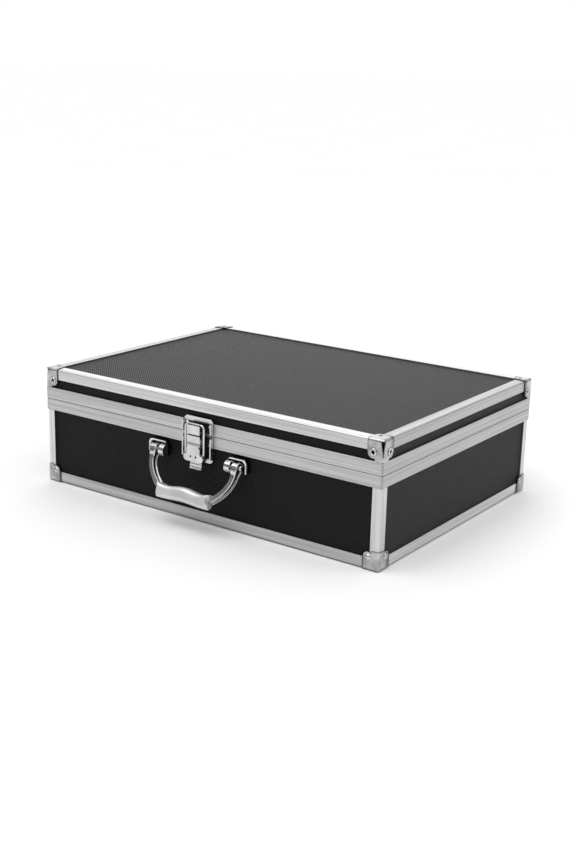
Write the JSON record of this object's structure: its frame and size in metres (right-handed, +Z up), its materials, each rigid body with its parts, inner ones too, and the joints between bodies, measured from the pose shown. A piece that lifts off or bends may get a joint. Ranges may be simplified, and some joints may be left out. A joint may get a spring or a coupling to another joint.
{
  "type": "attache case",
  "caption": "Aluminium-framed hard attache case with black laminated panels, riveted corner caps, a draw latch, a swinging handle and a hinged lid.",
  "frame": {"origin": "on the ground plane, under the middle of the whole outline with the handle and hinges included", "axes": "+Z up, +X along the length to the right, -Y out of the front wall that carries the latch and the handle"},
  "size_m": [0.3522, 0.2856, 0.105],
  "materials": {
    "laminate_board": "board with a finely embossed black laminate skin, satin",
    "aluminium_edging": "satin anodised with fine lengthwise streaks",
    "corner_nickel": "nickel plated pressed sheet",
    "rivet_nickel": "bright nickel",
    "hinge_nickel": "nickel plated",
    "latch_nickel": "nickel plated, lightly polished",
    "handle_chrome": "polished chrome",
    "grip_plastic": "pearl silver, satin",
    "foam": "open-cell charcoal foam",
    "lining_cloth": "black non-woven lining"
  },
  "bodies": {
    "base": {"base_bottom_panel": "laminate_board", "base_front_panel": "laminate_board", "base_back_panel": "laminate_board", "base_left_panel": "laminate_board", "base_right_panel": "laminate_board", "bottom_rail_front": "aluminium_edging", "base_frame_front": "aluminium_edging", "bottom_rail_back": "aluminium_edging", "base_frame_back": "aluminium_edging", "bottom_rail_left": "aluminium_edging", "base_frame_left": "aluminium_edging", "bottom_rail_right": "aluminium_edging", "base_frame_right": "aluminium_edging", "corner_post_front_left": "aluminium_edging", "bottom_cap_front_left": "corner_nickel", "corner_post_front_right": "aluminium_edging", "bottom_cap_front_right": "corner_nickel", "corner_post_back_left": "aluminium_edging", "bottom_cap_back_left": "corner_nickel", "corner_post_back_right": "aluminium_edging", "bottom_cap_back_right": "corner_nickel", "bottom_cap_rivets": "rivet_nickel", "base_hardware_rivets": "rivet_nickel", "hinge_base_leaves": "hinge_nickel", "hinge_pins": "hinge_nickel", "latch_base_plate": "latch_nickel", "latch_lever_pin": "latch_nickel", "handle_bracket_left": "handle_chrome", "handle_bracket_right": "handle_chrome", "handle_pivot_pins": "handle_chrome", "base_foam": "foam", "base_wall_lining": "lining_cloth"},
    "lid": {"lid_top_panel": "laminate_board", "lid_front_panel": "laminate_board", "lid_back_panel": "laminate_board", "lid_left_panel": "laminate_board", "lid_right_panel": "laminate_board", "top_rail_front": "aluminium_edging", "lid_frame_front": "aluminium_edging", "top_rail_back": "aluminium_edging", "lid_frame_back": "aluminium_edging", "top_rail_left": "aluminium_edging", "lid_frame_left": "aluminium_edging", "top_rail_right": "aluminium_edging", "lid_frame_right": "aluminium_edging", "top_cap_front_left": "corner_nickel", "top_cap_front_right": "corner_nickel", "top_cap_back_left": "corner_nickel", "top_cap_back_right": "corner_nickel", "top_cap_eyelets": "rivet_nickel", "lid_hardware_rivets": "rivet_nickel", "lid_foam": "foam", "latch_keeper": "latch_nickel", "hinge_lid_leaves": "hinge_nickel"},
    "handle": {"handle_bail": "handle_chrome", "handle_grip": "grip_plastic"},
    "latch_lever": {"latch_lever": "latch_nickel"},
    "latch_bail": {"latch_bail": "latch_nickel"}
  },
  "joints": [
    {"name": "lid_hinge", "type": "hinge", "parent": "base", "child": "lid", "pos_m": [0, 0.1374, 0.0765], "axis": [-1, 0, 0], "range_deg": [0, 97]},
    {"name": "handle_swing", "type": "hinge", "parent": "base", "child": "handle", "pos_m": [0, -0.1211, 0.0575], "axis": [-1, 0, 0], "range_deg": [0, 67]},
    {"name": "latch_lever_turn", "type": "hinge", "parent": "base", "child": "latch_lever", "pos_m": [0, -0.1224, 0.0682], "axis": [-1, 0, 0], "range_deg": [0, 85]},
    {"name": "latch_bail_swing", "type": "hinge", "parent": "latch_lever", "child": "latch_bail", "pos_m": [0, -0.1218, 0.0602], "axis": [-1, 0, 0], "range_deg": [-66, 1]}
  ],
  "couplings": [
    {"joint": "latch_bail_swing", "follows": "latch_lever_turn", "ratio": -0.75}
  ]
}
